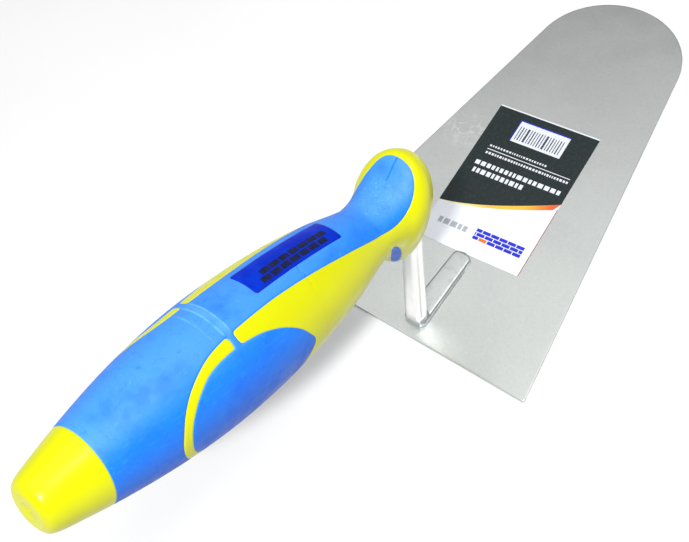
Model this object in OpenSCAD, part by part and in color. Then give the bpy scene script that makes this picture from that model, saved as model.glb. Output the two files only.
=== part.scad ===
// Round-toe brick trowel: a thin steel blade, a forged shank welded to it,
// and a two-material moulded handle on the shank's tang.
//
// The origin is the middle of the heel edge, on the underside of the blade.
// +X points to the toe and +Z points up. The handle rises towards -X.

/* [Blade] */
// Length of the blade, from the heel edge to the toe
blade_length = 180; // [160:1:220]
// Width of the blade along the heel edge
blade_width = 106; // [95:1:130]
// Radius of the round toe
toe_radius = 31; // [25:1:40]
// Thickness of the blade
blade_thickness = 1.2; // [0.8:0.1:2]

/* [Shank] */
// Sideways place of the shank and the handle, from the middle of the blade
shank_side = -2.3; // [-4:0.1:4]
// Distance from the heel edge to the middle of the neck
neck_setback = 7.2; // [6:0.1:10]
// Forward lean of the neck, in degrees
neck_lean = 8; // [4:0.5:9]
// Width of the neck, across the blade
neck_width = 7.4; // [6:0.1:9]
// Depth of the neck, along the blade
neck_depth = 5.8; // [5.6:0.1:8]
// Radius of the neck's four long edges
neck_corner = 1.8; // [1:0.1:2]
// Radius of the bend from the neck to the tang, on its middle line
bend_radius = 12; // [10:0.5:14]
// Length of the tapered tang inside the handle
tang_length = 85; // [60:1:100]
// Radius of the tang at the bend
tang_radius = 2.5; // [2.2:0.1:2.6]
// Radius of the tang at its end
tang_tip_radius = 1.6; // [1:0.1:2]
// Distance from the heel edge to the tip of the foot
foot_reach = 39; // [30:0.5:39]
// Width of the foot at its heel end
foot_width = 9; // [8.5:0.1:12]
// Height of the foot under the neck
foot_height = 2.5; // [2:0.1:4]
// Height of the foot at its tip
foot_tip_height = 1.9; // [1.5:0.1:2]
// Size of the weld bead along each side of the foot
weld_size = 0.7; // [0.5:0.1:1]

/* [Handle] */
// Height of the handle's middle line over the blade, where it meets the neck's
crossing_height = 67.78; // [60:0.01:80]
// Rise of the handle, in degrees
handle_rise = 20.8; // [10:0.1:30]
// Distance from that crossing back to the collar's widest section
collar_setback = 6.62; // [3:0.01:8]
// Sharpening of the collar's sections towards the bottom, 0 for none
collar_egg = 0.27; // [0:0.01:0.3]
// Backward lean of the collar, as a slope
collar_lean = 0.05; // [0:0.01:0.1]
// Depth of the soft grip in its recess
grip_depth = 2.2; // [1.5:0.1:2.5]
// Distance from the collar to the seam between the grip and the butt
butt_seam = 127.7; // [115:0.1:132]
// Depth of the badge foil's seat in the grip
badge_seat = 0.25; // [0.1:0.05:0.4]
// Height of the badge foil above the grip
badge_proud = 0.1; // [0:0.05:0.2]
// Gap between the tang and the moulded core
tang_gap = 0.2; // [0.1:0.05:0.4]

/* [Label] */
// Length of the paper label on the blade
label_length = 70; // [50:0.5:80]
// Width of the paper label
label_width = 44; // [30:0.5:50]
// Thickness of the paper label
label_thickness = 0.15; // [0.1:0.05:0.3]
// Distance from the heel edge to the middle of the label
label_x = 75; // [75:0.5:90]
// Turn of the label on the blade, in degrees
label_turn = 4.2; // [0:0.1:6]

/* [Hidden] */
$fn = 64;

// The handle's shape along its middle line: distance from the collar, half width,
// height above the line, depth below it
LOFT = [
    [-8.0, 4.3, 9.5, 11.0],
    [-7.4, 6.6, 14.6, 17.2],
    [-6.0, 8.8, 19.0, 21.6],
    [-3.0, 10.4, 21.2, 22.4],
    [0, 11.7, 21.9, 22.0],
    [3, 12.3, 20.2, 20.6],
    [6, 12.0, 16.8, 18.0],
    [9, 10.8, 14.1, 15.1],
    [14, 9.8, 11.7, 11.9],
    [20, 10.2, 10.7, 10.6],
    [36, 13.6, 14.4, 14.4],
    [53, 15.9, 16.9, 16.9],
    [71, 17.1, 18.1, 18.1],
    [89, 17.0, 18.0, 18.0],
    [107, 15.3, 16.2, 16.2],
    [124, 12.3, 13.1, 13.1],
    [138, 9.0, 9.6, 9.6],
    [141.5, 8.0, 8.5, 8.5],
    [143.4, 6.9, 7.3, 7.3],
    [144.2, 5.2, 5.5, 5.5],
];
// Distances from the collar at which the handle's surface has a section
STEPS = concat(
    [-8, -7.8, -7.4, -6.8, -6, -4.8],
    [for (s = [-3:2:15]) s],
    [for (s = [18:3.5:32]) s],
    [for (s = [37:6:133]) s],
    [137.5],
    [140, 141.5, 142.6, 143.4, 143.9, 144.2]
);
// Half angle of the grip's top and bottom strips, in degrees from the middle plane
STRIP = [
    [1.4, 1], [2, 20], [4, 33], [6, 40], [10, 53], [14, 58], [20, 53], [30, 44],
    [40, 37.5], [50, 32.5], [60, 29], [70, 27], [85, 27.5], [92, 30], [97, 35.5],
    [102, 45], [106, 59], [108.2, 75], [109, 90],
];
// Half angle of the side pads, in degrees from the handle's widest line
PAD = [
    [60.3, 1], [61, 7], [62.5, 14], [66, 27.5], [72, 40.5], [79, 48], [88, 50.5],
    [95, 47.5], [100, 38.5], [103.5, 27], [105.6, 14], [106.2, 1],
];
// Ends and half angle of the grip's bridges to the side pads
BRIDGE_FROM = 83.7;
BRIDGE_TO = 85.7;
BRIDGE_ANGLES = [25, 43];
// Ends and half angle of the badge foil
BADGE_FROM = 34.5;
BADGE_TO = 70.5;
BADGE_ANGLE = 18;

SIDES = 32;
WEDGE_ARCS = 6;
WEDGE_STEP = 2.5;
// Where the collar's egg shape and lean fade out along the handle
EGG_END = 20;
EGG_FADE = 14;
LEAN_END = 24;
// Radial reach of the region shapes, as parts of the handle's section
HUB_REACH = 0.3;
OUTER_REACH = 1.45;
SLEEVE_REACH = 30;

// Bevel of the foot's heel corners, share of its width left at the tip, length of the tip's
// rounding, and how far the tip's end drops
foot_bevel = 1.2;
foot_tip_share = 0.86;
foot_tip_round = 2.4;
foot_tip_drop = 0.3;
// How far the foot's heel end stands out behind the neck
foot_ledge = 0.3;
foot_heel = neck_setback - neck_depth / 2 - foot_ledge;
// Bare length of the foot's sides before and behind the weld beads
bead_end_gap = 1.2;
bead_tip_gap = 5;
// Spacing of the sections that bound the badge, and how far cutting shapes overrun a face
BADGE_STEP = 4.5;
overrun = 1;

crossing_x = neck_setback + crossing_height * tan(neck_lean);
crossing_z = blade_thickness + crossing_height;
neck_run = crossing_height / cos(neck_lean);
bend_angle = 90 - handle_rise + neck_lean;
bend_tangent = bend_radius * tan(bend_angle / 2);
toe_x = blade_length - toe_radius;

// ---- Smooth interpolation in a table whose first column is the distance ----

function row_at(table, s) =
    min(len(table) - 2, max(0, len([for (row = table) if (row[0] <= s) row]) - 1));

function slope(table, i, column) =
    let (last = len(table) - 1, before = max(0, i - 1), after = min(last, i + 1))
    (table[after][column] - table[before][column]) / (table[after][0] - table[before][0]);

function smooth(table, s, column = 1) =
    let (
        i = row_at(table, s),
        span = table[i + 1][0] - table[i][0],
        u = min(1, max(0, (s - table[i][0]) / span)),
        from = table[i][column],
        to = table[i + 1][column]
    )
    from * (1 + 2 * u) * pow(1 - u, 2) + to * u * u * (3 - 2 * u)
        + span * slope(table, i, column) * u * pow(1 - u, 2)
        - span * slope(table, i + 1, column) * u * u * (1 - u);

// ---- The handle's surface, in its own frame: +X to the butt, +Z up ----

function fade(s, end, length) = min(1, max(0, (end - s) / length));

// A point at distance s and angle a from the top, sunk by inset and spread by reach
function skin_point(s, a, inset = 0, reach = 1) =
    let (
        side = smooth(LOFT, s, 1) - inset,
        height = smooth(LOFT, s, cos(a) > 0 ? 2 : 3) - inset,
        egg = collar_egg * fade(s, EGG_END, EGG_FADE),
        y = side * sin(a) * (1 + egg * cos(a)) * reach,
        z = height * cos(a) * reach
    )
    [s + collar_lean * z * fade(s, LEAN_END, LEAN_END), -y, z];

function section(s, inset) = [for (i = [0:SIDES - 1]) skin_point(s, 360 * i / SIDES, inset)];

// A closed skin over rings of equal length
module skin(rings) {
    n = len(rings[0]);
    last = len(rings) - 1;
    points = [for (ring = rings) each ring];
    sides = [
        for (r = [0:last - 1], i = [0:n - 1])
            let (j = (i + 1) % n, a = r * n, b = a + n)
            each [[a + i, b + j, a + j], [a + i, b + i, b + j]]
    ];
    ends = [[for (i = [0:n - 1]) i], [for (i = [n - 1:-1:0]) last * n + i]];
    polyhedron(points, concat(sides, ends), convexity = 6);
}

module handle_body(inset = 0) {
    skin([for (s = STEPS) section(s, inset)]);
}

// A region of the handle as a solid wedge: rows hold a distance and two angles
module wedge(rows) {
    skin([
        for (row = rows)
            let (turn = row[2] - row[1])
            concat(
                [for (i = [0:WEDGE_ARCS])
                    skin_point(row[0], row[1] + turn * i / WEDGE_ARCS, 0, OUTER_REACH)],
                [for (i = [WEDGE_ARCS:-1:0])
                    skin_point(row[0], row[1] + turn * i / WEDGE_ARCS, 0, HUB_REACH)]
            )
    ]);
}

// Distances along a table, with its own first and last
function table_steps(table) =
    let (from = table[0][0], to = table[len(table) - 1][0])
    concat([for (s = [from:WEDGE_STEP:to - WEDGE_STEP / 2]) s], [to]);

// A region that lies evenly about one angle, with its half angle from a table
module even_wedge(table, middle) {
    wedge([for (s = table_steps(table))
        let (half = smooth(table, s))
        [s, middle - half, middle + half]]);
}

// Everything that the soft grip may fill, from the recess floor outwards
module grip_space() {
    difference() {
        union() {
            for (middle = [0, 180])
                even_wedge(STRIP, middle);
            for (middle = [90, 270])
                even_wedge(PAD, middle);
            for (quarter = [0, 180], side = [-1, 1])
                wedge([for (s = [BRIDGE_FROM, BRIDGE_TO])
                    let (a = quarter + side * BRIDGE_ANGLES[0], b = quarter + side * BRIDGE_ANGLES[1])
                    [s, min(a, b), max(a, b)]]);
            sleeve_from = STRIP[len(STRIP) - 1][0];
            translate([sleeve_from, 0, 0])
                rotate([0, 90, 0])
                    cylinder(h = butt_seam - sleeve_from, r = SLEEVE_REACH);
        }
        handle_body(grip_depth);
    }
}

module badge_space() {
    difference() {
        wedge([for (s = [BADGE_FROM:BADGE_STEP:BADGE_TO]) [s, -BADGE_ANGLE, BADGE_ANGLE]]);
        handle_body(badge_seat);
    }
}

// Puts handle-frame shapes in place: its origin is the middle of the collar
module in_handle_place() {
    translate([crossing_x, shank_side, crossing_z])
        rotate([0, handle_rise, 0])
            rotate([0, 0, 180])
                children();
}

// Resolves its children into one surface
module one_surface() {
    resize([0, 0, 0])
        children();
}

// ---- Shank ----

// The neck's cross-section, grown by gap on every side
module bar_section(gap = 0) {
    w = neck_width + 2 * gap;
    d = neck_depth + 2 * gap;
    r = neck_corner + gap;
    square([d - 2 * r, w], center = true);
    square([d, w - 2 * r], center = true);
    for (x = [-1, 1], y = [-1, 1])
        translate([x * (d / 2 - r), y * (w / 2 - r)])
            circle(r);
}

// The tang, in the handle's frame, from just inside the bend
module tang(gap = 0) {
    inside_bend = 1;
    translate([bend_tangent - inside_bend, 0, 0])
        rotate([0, 90, 0])
            cylinder(h = tang_length + gap, r1 = tang_radius + gap, r2 = tang_tip_radius + gap);
}

// The bend and the straight neck below it, in the handle's frame. The bend is drawn
// a little thinner than the neck, and ends just inside it
module bend_and_neck(gap = 0) {
    inside_foot = blade_thickness / 2;
    inside_neck = 0.6;
    thinning = 0.06;
    translate([bend_tangent, 0, -bend_radius])
        rotate([90, 0, 0])
            rotate([0, 0, 90]) {
                rotate_extrude(angle = bend_angle)
                    translate([bend_radius, 0])
                        bar_section(gap - thinning);
                rotate([0, 0, bend_angle])
                    translate([bend_radius, -inside_neck, 0])
                        rotate([-90, 0, 0])
                            linear_extrude(neck_run - bend_tangent - inside_foot + inside_neck)
                                bar_section(gap);
            }
}

// The foot's outline on the blade, grown by margin: it narrows a little to a blunt round tip
module foot_outline(margin = 0) {
    half = foot_width / 2 + margin;
    tip = foot_tip_share * foot_width / 2 + margin;
    polygon([
        [foot_heel - margin, foot_bevel - half],
        [foot_heel + foot_bevel, -half],
        for (turn = [-90:15:90])
            [foot_reach - foot_tip_round * (1 - cos(turn)), tip * sin(turn)],
        [foot_heel + foot_bevel, half],
        [foot_heel - margin, half - foot_bevel],
    ]);
}

// The foot: its outline on the blade, cut to its profile from the side
module foot() {
    past_tip = foot_reach + overrun;
    intersection() {
        translate([0, shank_side, blade_thickness])
            linear_extrude(foot_height + overrun)
                foot_outline();
        translate([0, shank_side + foot_width, blade_thickness])
            rotate([90, 0, 0])
                linear_extrude(2 * foot_width)
                    polygon([
                        [0, 0],
                        [past_tip, 0],
                        [past_tip, foot_tip_height - foot_tip_drop],
                        [foot_reach - foot_tip_round / 2, foot_tip_height],
                        [neck_setback + neck_depth, foot_height],
                        [0, foot_height],
                    ]);
    }
}

// ---- Sub-parts ----

// Round-toe plate: straight sides that run tangent into the toe's arc
module blade() {
    heel = blade_width / 2;
    heel_distance = norm([toe_x, heel]);
    tangent_turn = atan2(heel, -toe_x) - acos(toe_radius / heel_distance);
    tangent = [toe_x + toe_radius * cos(tangent_turn), toe_radius * sin(tangent_turn)];
    color("silver")
        linear_extrude(blade_thickness) {
            polygon([[0, -heel], [tangent[0], -tangent[1]], tangent, [0, heel]]);
            translate([toe_x, 0])
                circle(toe_radius);
        }
}

// One forged bar: foot on the blade, neck, bend and the tang inside the handle
module shank() {
    color("gainsboro")
        union() {
            foot();
            in_handle_place() {
                bend_and_neck();
                tang();
            }
        }
}

// Weld beads between the blade and the foot's two long sides
module foot_weld() {
    bead_from = foot_heel + bead_end_gap;
    bead_to = foot_reach - bead_tip_gap;
    sliver = 0.05;
    color("lightslategray")
        translate([0, shank_side, blade_thickness])
            intersection() {
                difference() {
                    hull() {
                        linear_extrude(sliver)
                            foot_outline(weld_size);
                        translate([0, 0, weld_size - sliver])
                            linear_extrude(sliver)
                                foot_outline(sliver);
                    }
                    translate([0, 0, -overrun])
                        linear_extrude(weld_size + 2 * overrun)
                            foot_outline();
                }
                translate([bead_from, -foot_width, 0])
                    cube([bead_to - bead_from, 2 * foot_width, weld_size]);
            }
}

// Hard moulded core: collar rim, side panels, butt end and the recess for the grip
module handle_core() {
    color("yellow")
        one_surface()
            difference() {
                in_handle_place()
                    translate([collar_setback, 0, 0])
                        difference() {
                            handle_body();
                            grip_space();
                        }
                in_handle_place() {
                    bend_and_neck(tang_gap);
                    tang(tang_gap);
                }
            }
}

// Soft grip, moulded into the core's recess: sleeve, two strips and two side pads
module grip() {
    color("dodgerblue")
        in_handle_place()
            translate([collar_setback, 0, 0])
                one_surface()
                    difference() {
                        intersection() {
                            handle_body();
                            grip_space();
                        }
                        badge_space();
                    }
}

// Printed foil on the top strip
module badge() {
    color("royalblue")
        in_handle_place()
            translate([collar_setback, 0, 0])
                one_surface()
                    intersection() {
                        handle_body(-badge_proud);
                        badge_space();
                    }
}

// Paper label, stuck on the blade slightly askew
module blade_label() {
    color("darkslategray")
        translate([label_x, 0, blade_thickness])
            rotate([0, 0, label_turn])
                translate([-label_length / 2, -label_width / 2, 0])
                    cube([label_length, label_width, label_thickness]);
}

blade();
shank();
foot_weld();
handle_core();
grip();
badge();
blade_label();
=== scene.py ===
"""Looks of the round-toe brick trowel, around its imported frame. Shapes are worked out in millimetres
and scaled to metres when a mesh is made."""
import math

import bpy
import numpy as np
from mathutils import Matrix, Vector


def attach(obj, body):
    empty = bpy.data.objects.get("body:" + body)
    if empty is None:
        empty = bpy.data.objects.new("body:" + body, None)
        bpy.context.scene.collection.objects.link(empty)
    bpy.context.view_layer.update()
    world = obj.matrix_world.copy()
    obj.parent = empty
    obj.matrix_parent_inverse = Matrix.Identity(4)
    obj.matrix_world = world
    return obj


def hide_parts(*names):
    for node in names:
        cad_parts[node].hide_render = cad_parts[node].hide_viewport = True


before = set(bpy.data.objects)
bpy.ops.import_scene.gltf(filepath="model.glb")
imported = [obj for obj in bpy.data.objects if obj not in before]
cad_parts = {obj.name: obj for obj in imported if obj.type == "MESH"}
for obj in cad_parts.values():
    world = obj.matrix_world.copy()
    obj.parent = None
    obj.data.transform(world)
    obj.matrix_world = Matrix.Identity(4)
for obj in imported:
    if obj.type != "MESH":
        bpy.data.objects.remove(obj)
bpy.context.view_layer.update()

MM = 0.001

# ---- Sizes, in millimetres and degrees ----

# The plate. The origin is the middle of its heel edge, +X runs to the toe
BLADE_LENGTH = 180.0
BLADE_WIDTH = 106.0
TOE_RADIUS = 31.0
BLADE_THICKNESS = 1.2
BLADE_EDGE = 0.25

# The forged bar: its place across the blade, then its neck, bend, tang and foot
SHANK_SIDE = -2.3
NECK_SETBACK = 7.2
NECK_LEAN = 8.0
NECK_WIDTH = 7.2
NECK_DEPTH = 5.8
NECK_CORNER = 2.2
NECK_TAPER = 0.84
BEND_RADIUS = 12.0
TANG_LENGTH = 85.0
TANG_RADIUS = 2.5
TANG_TIP_RADIUS = 1.6
TANG_GAP = 0.2
FOOT_REACH = 39.9
FOOT_WIDTH = 9.0
FOOT_HEIGHT = 2.5
FOOT_TIP_HEIGHT = 1.9
FOOT_TIP_SHARE = 0.86
FOOT_TIP_ROUND = 2.4
FOOT_HEEL = NECK_SETBACK - NECK_DEPTH / 2 + 0.5
WELD_SIZE = 0.7

# The handle: where its middle line crosses the neck's, its rise, and its shape near the collar
CROSSING_HEIGHT = 67.78
HANDLE_RISE = 20.8
COLLAR_SETBACK = 6.62
COLLAR_EGG = 0.27
COLLAR_LEAN = 0.05
EGG_END = 20.0
EGG_FADE = 14.0
LEAN_END = 24.0
CROSSING = np.array([
    NECK_SETBACK + CROSSING_HEIGHT * math.tan(math.radians(NECK_LEAN)),
    SHANK_SIDE,
    BLADE_THICKNESS + CROSSING_HEIGHT,
])

# The handle along its middle line:
# distance from the collar, half width, height over the line, depth below it
LOFT = [
    (-8.0, 4.3, 9.5, 11.0), (-7.4, 6.6, 14.6, 17.2), (-6.0, 8.8, 19.0, 21.6), (-3.0, 10.4, 21.2, 22.4),
    (0, 11.7, 21.9, 22.0), (3, 12.3, 20.2, 20.6), (6, 12.0, 16.8, 18.0), (9, 10.8, 14.1, 15.1),
    (14, 9.8, 11.7, 11.9), (20, 10.2, 10.7, 10.6), (36, 13.6, 14.4, 14.4), (53, 15.9, 16.9, 16.9),
    (71, 17.1, 18.1, 18.1), (89, 17.0, 18.0, 18.0), (107, 15.3, 16.2, 16.2), (124, 12.3, 13.1, 13.1),
    (138, 9.0, 9.6, 9.6), (141.5, 8.0, 8.5, 8.5), (143.4, 6.9, 7.3, 7.3), (144.15, 5.2, 5.5, 5.5),
]

# The grip. Its strips: distance from the collar, half angle from the middle plane
STRIP = [
    (1.4, 1), (2, 20), (4, 33), (6, 40), (10, 53), (14, 58), (20, 53), (30, 44), (40, 37.5), (50, 32.5),
    (60, 29), (70, 27), (85, 27.5), (92, 30), (97, 35.5), (102, 45), (106, 59), (108.2, 75), (109, 89),
]
# Its side pads: distance from the collar, half angle from the handle's widest line
PAD = [
    (60.3, 1), (61, 7), (62.5, 14), (66, 27.5), (72, 40.5), (79, 48), (88, 50.5), (95, 47.5),
    (100, 38.5), (103.5, 27), (105.6, 14), (106.2, 1),
]
# Its oval inlays under the collar: distance and angle of the middle, mm of slant for a degree,
# half length and half angle
INLAY_AT = 9.0
INLAY_TURN = -131.0
INLAY_SLANT = 0.163
INLAY_HALF = 2.5
INLAY_SPREAD = 36.0
# The bottom strip starts behind the inlays
LOWER_STRIP_FROM = 18.0
# The front of the strips is worked out from the middle plane, the rear from the widest line
STRIP_SWITCH = 55.0
BRIDGE_AT = 84.7
BRIDGE_HALF = 1.0
CORNER_BLEND = 1.2
GRIP_DEPTH = 2.2
BUTT_SEAM = 127.7
THUMB_AT = 13.0

# The badge foil, set in the top strip
BADGE_FROM = 34.4
BADGE_TO = 70.6
BADGE_HALF = 5.0
BADGE_SHIFT = 0.5
BADGE_CORNER = 0.8
BADGE_SEAT = 0.25
BADGE_PROUD = 0.1
# The seat's wall ends this far inside the badge's outline, where the foil begins, and the foil is flat
# from the second distance on
FOIL_FROM = 0.06
FOIL_FLAT_FROM = 0.25

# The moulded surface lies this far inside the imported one, whose facets cut its corners
SKIN_ALLOWANCE = 0.05
SEAM_DEPTH = 0.16
SEAM_WIDTH = 0.45

# The label, turned on the blade, and its print
LABEL_LENGTH = 70.0
LABEL_WIDTH = 44.0
LABEL_THICKNESS = 0.15
LABEL_X = 75.0
LABEL_TURN = 4.2
INK = 0.02
# Rows of blocks: from and to along the label, from left to right across it, count, gap, seed
WHITE_ROWS = [
    (0.1, 2.4, 17, -5, 11, 0.65, 3),
    (4.0, 6.1, 17.8, -19.3, 17, 0.65, 5),
    (10.2, 11.3, 16.3, -19.7, 30, 0.45, 7),
    (14.0, 14.9, 16.3, -8.7, 22, 0.5, 9),
]
GREY_ROW = (-26.6, -24.0, 17.5, 5, 5, 0.7, 11)
# Boxes: from and to along the label, then right and left
WHITE_RULE = (12.4, 12.75, -19.8, 16.5)
STRIPED_BOX = (19.8, 30.4, -11.5, 10.2)
BRICK_BOX = (-27.8, -22.8, -18.8, 1.5)
ORANGE_BRICK = 4


# ---- Smooth tables ----

def smooth(table, s, column=1, square=False, extend=False):
    """Cubic interpolation in a table whose first column is the distance."""
    rows = np.array(table, float)
    x, y = rows[:, 0], rows[:, column]
    if square:
        y = y**2
    before, after = np.maximum(np.arange(len(x)) - 1, 0), np.minimum(np.arange(len(x)) + 1, len(x) - 1)
    slope = (y[after] - y[before]) / (x[after] - x[before])
    s = np.asarray(s, float)
    i = np.clip(np.searchsorted(x, s, side="right") - 1, 0, len(x) - 2)
    span = x[i + 1] - x[i]
    u = np.clip((s - x[i]) / span, 0, 1)
    out = (y[i] * (1 + 2 * u) * (1 - u) ** 2 + y[i + 1] * u * u * (3 - 2 * u)
           + span * slope[i] * u * (1 - u) ** 2 - span * slope[i + 1] * u * u * (1 - u))
    if extend:
        out = out + slope[0] * np.minimum(s - x[0], 0) + slope[-1] * np.maximum(s - x[-1], 0)
    return out


def step(x, low, high):
    """0 below low and 1 above high, with a soft change between."""
    u = np.clip((x - low) / (high - low), 0, 1)
    return u * u * (3 - 2 * u)


# ---- The handle's surface: a place is (distance, angle from the top in degrees, reach) ----

def signed(angle):
    """The same angle between -180 and 180 degrees."""
    return (angle + 180) % 360 - 180


def in_handle_place(points):
    """From the handle's own frame, +X to the butt and +Z up, to the object's."""
    turn = np.array(Matrix.Rotation(math.radians(HANDLE_RISE), 3, "Y"))
    return (points * (-1, -1, 1)) @ turn.T + CROSSING


def skin(places, inset=0.0):
    """Points of the handle's surface, sunk by inset."""
    s, angle, reach = places[:, 0], np.radians(places[:, 1]), places[:, 2]
    up = np.cos(angle)
    side = smooth(LOFT, s, 1) - inset
    height = np.where(up > 0, smooth(LOFT, s, 2), smooth(LOFT, s, 3)) - inset
    egg = COLLAR_EGG * np.clip((EGG_END - s) / EGG_FADE, 0, 1)
    y = side * np.sin(angle) * (1 + egg * up) * reach
    z = height * up * reach
    x = s + COLLAR_LEAN * z * np.clip((LEAN_END - s) / LEAN_END, 0, 1)
    x = x - end_bulge(s, reach)
    return in_handle_place(np.stack([x + COLLAR_SETBACK, -y, z], 1))


def end_bulge(s, reach):
    """How far the two end faces stand out or in, from their rims to their middles."""
    front_dome = 0.5
    butt_dish = 0.35
    gate_mark = 0.3
    front = front_dome * (1 - reach**2) * (s < 0)
    dish = butt_dish * (1 - step(reach, 0.3, 0.55))
    gate = gate_mark * (1 - step(reach, 0.08, 0.16))
    return front + (dish - gate) * (s > 100)


def metric(places):
    """Millimetres along the surface for one millimetre of s, and for one degree."""
    small = 0.05
    ahead, around = places + (small, 0, 0), places + (0, small, 0)
    here = skin(places)
    moved = [np.linalg.norm(skin(p) - here, axis=1) for p in (ahead, around)]
    return tuple(np.maximum(length / small, 1e-4) for length in moved)


def as_distance(field, places, along, around):
    """Turns a field that is zero on a line into the distance from that line, in mm."""
    small = 0.02
    here = field(places)
    ds = (field(places + (small, 0, 0)) - field(places - (small, 0, 0))) / (2 * small) / along
    da = (field(places + (0, small, 0)) - field(places - (0, small, 0))) / (2 * small) / around
    return np.clip(here / np.maximum(np.hypot(ds, da), 1e-6), -9, 9)


def from_top(places):
    """Angle from the nearer of top and bottom, 0 to 90 degrees."""
    return np.abs((places[:, 1] + 90) % 180 - 90)


def strip_field(places):
    """Positive on the top and bottom strips and on the sleeve behind them."""
    rim_gain = 0.27
    overlap = 12
    cut_off = 150
    s, turn = places[:, 0], signed(places[:, 1])
    # The yellow rim of the collar is wider on the left
    wide_rim = rim_gain * (1 - step(s, 3.5, 11)) * step(turn, 0, 20) * (1 - step(turn, 80, 100))
    angle = from_top(places) * (1 + wide_rim)
    near_collar = [row for row in STRIP if row[0] < STRIP_SWITCH + overlap]
    behind = [(at, 90 - half) for at, half in STRIP if at > STRIP_SWITCH - overlap]
    front = smooth(near_collar, s, square=True, extend=True) - angle**2
    below = np.abs(turn) > 90
    front = np.where(below, np.minimum(front, (s - LOWER_STRIP_FROM) * cut_off), front)
    rear = (90 - angle) ** 2 - smooth(behind, s, square=True, extend=True)
    return np.where(s < STRIP_SWITCH, front, rear)


def inlay_field(places):
    """Positive on the two slanted oval inlays under the collar."""
    off = -np.abs(signed(places[:, 1])) - INLAY_TURN
    middle = INLAY_AT + INLAY_SLANT * off
    return INLAY_HALF**2 * (1 - (off / INLAY_SPREAD) ** 2) - (places[:, 0] - middle) ** 2


def pad_field(places):
    """Positive on the side pads."""
    return smooth(PAD, places[:, 0], square=True, extend=True) - (90 - from_top(places)) ** 2


def soft_max(a, b, blend):
    """The larger of two distances, with round corners where they meet."""
    h = np.maximum(blend - np.abs(a - b), 0) / blend
    return np.maximum(a, b) + h * h * blend / 4


def grip_distance(places):
    """Distance from the seam between the soft grip and the hard core, positive on the grip."""
    along, around = metric(places)
    strip = as_distance(strip_field, places, along, around)
    pad = as_distance(pad_field, places, along, around)
    bridge = BRIDGE_HALF - np.abs(places[:, 0] - BRIDGE_AT)
    inlay = as_distance(inlay_field, places, along, around)
    soft = np.maximum(soft_max(soft_max(strip, bridge, CORNER_BLEND), pad, CORNER_BLEND), inlay)
    return np.minimum(soft, BUTT_SEAM - places[:, 0])


def badge_distance(places):
    """Distance inside the badge foil's edge: a rectangle with round corners, bent over the top strip."""
    s, angle = places[:, 0], np.radians(signed(places[:, 1]))
    middle, half = (BADGE_FROM + BADGE_TO) / 2, (BADGE_TO - BADGE_FROM) / 2
    across = np.abs(smooth(LOFT, s, 1) * angle - BADGE_SHIFT) - (BADGE_HALF - BADGE_CORNER)
    along = np.abs(s - middle) - (half - BADGE_CORNER)
    outside = np.hypot(np.maximum(along, 0), np.maximum(across, 0))
    return BADGE_CORNER - outside - np.minimum(np.maximum(along, across), 0)


def handle_grid():
    """Places over the whole handle as rings from pole to pole, and the triangles between them."""
    ring_step = 0.6
    angle_step = 2.25
    first, last = LOFT[0][0], LOFT[-1][0]
    crease = [BRIDGE_AT + side * (BRIDGE_HALF + d) for side in (-1, 1) for d in (-0.3, 0, 0.3)]
    front_end = [first, first + 0.1, first + 0.3]
    butt_end = [last - 0.45, last - 0.25, last - 0.1, last]
    even = np.arange(first + 0.6, last - 0.5, ring_step)
    inner = [s for s in even if min(abs(s - c) for c in crease) > 0.2]
    stations = sorted(front_end + inner + crease + butt_end)
    parting = [p + d for p in (0, 180) for d in (-0.9, 0.9)]
    angles = np.array(sorted(list(np.arange(0, 360, angle_step)) + [a % 360 for a in parting]))
    cap_reaches = np.linspace(0.06, 0.98, 16)
    rings = [(first, r) for r in cap_reaches]
    rings += [(s, 1.0) for s in stations]
    rings += [(last, r) for r in cap_reaches[::-1]]
    n = len(angles)
    places = np.array([(s, a, reach) for s, reach in rings for a in angles])
    places = np.vstack([places, [(first, 0, 0), (last, 0, 0)]])
    row = np.arange(len(rings) - 1)[:, None] * n
    i = np.arange(n)[None]
    j = (i + 1) % n
    a, b, c, d = (v.ravel() for v in (row + i, row + j, row + n + j, row + n + i))
    front_pole, butt_pole = len(places) - 2, len(places) - 1
    rim = (len(rings) - 1) * n
    i, j = i.ravel(), j.ravel()
    faces = np.vstack([
        np.stack([a, b, c], 1), np.stack([a, c, d], 1),
        np.stack([np.full(n, front_pole), j, i], 1),
        np.stack([np.full(n, butt_pole), rim + i, rim + j], 1),
    ])
    return places, faces


def cut(places, faces, field, level, snap=0.015):
    """Splits the triangles that the field's level passes through, so that edges run along it."""
    value = field(places) - level
    value[np.abs(value) < snap] = 0.0
    corner = np.sign(value).astype(int)[faces]
    crossed = (corner.min(1) < 0) & (corner.max(1) > 0)
    whole, split, corner = faces[~crossed], faces[crossed], corner[crossed]
    touching = (corner == 0).any(1)
    lone = np.where(touching, np.argmax(corner == 0, 1), np.argmax(corner == -corner.sum(1)[:, None], 1))
    split = np.take_along_axis(split, (lone[:, None] + np.arange(3)) % 3, 1)
    clear, touched = split[~touching], split[touching]
    edges = np.sort(np.vstack([clear[:, [0, 1]], clear[:, [0, 2]], touched[:, [1, 2]]]), axis=1)
    edges, back = np.unique(edges, axis=0, return_inverse=True)
    made = crossing_points(places, edges, value, field, level)
    back = back.ravel() + len(places)
    m = len(clear)
    p, q, r = back[:m], back[m:2 * m], back[2 * m:]
    a, b, c = clear.T
    z, x, y = touched.T
    faces = np.vstack([
        whole, np.stack([a, p, q], 1), np.stack([p, b, c], 1), np.stack([p, c, q], 1),
        np.stack([z, x, r], 1), np.stack([z, r, y], 1),
    ])
    return np.vstack([places, made]), faces


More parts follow.
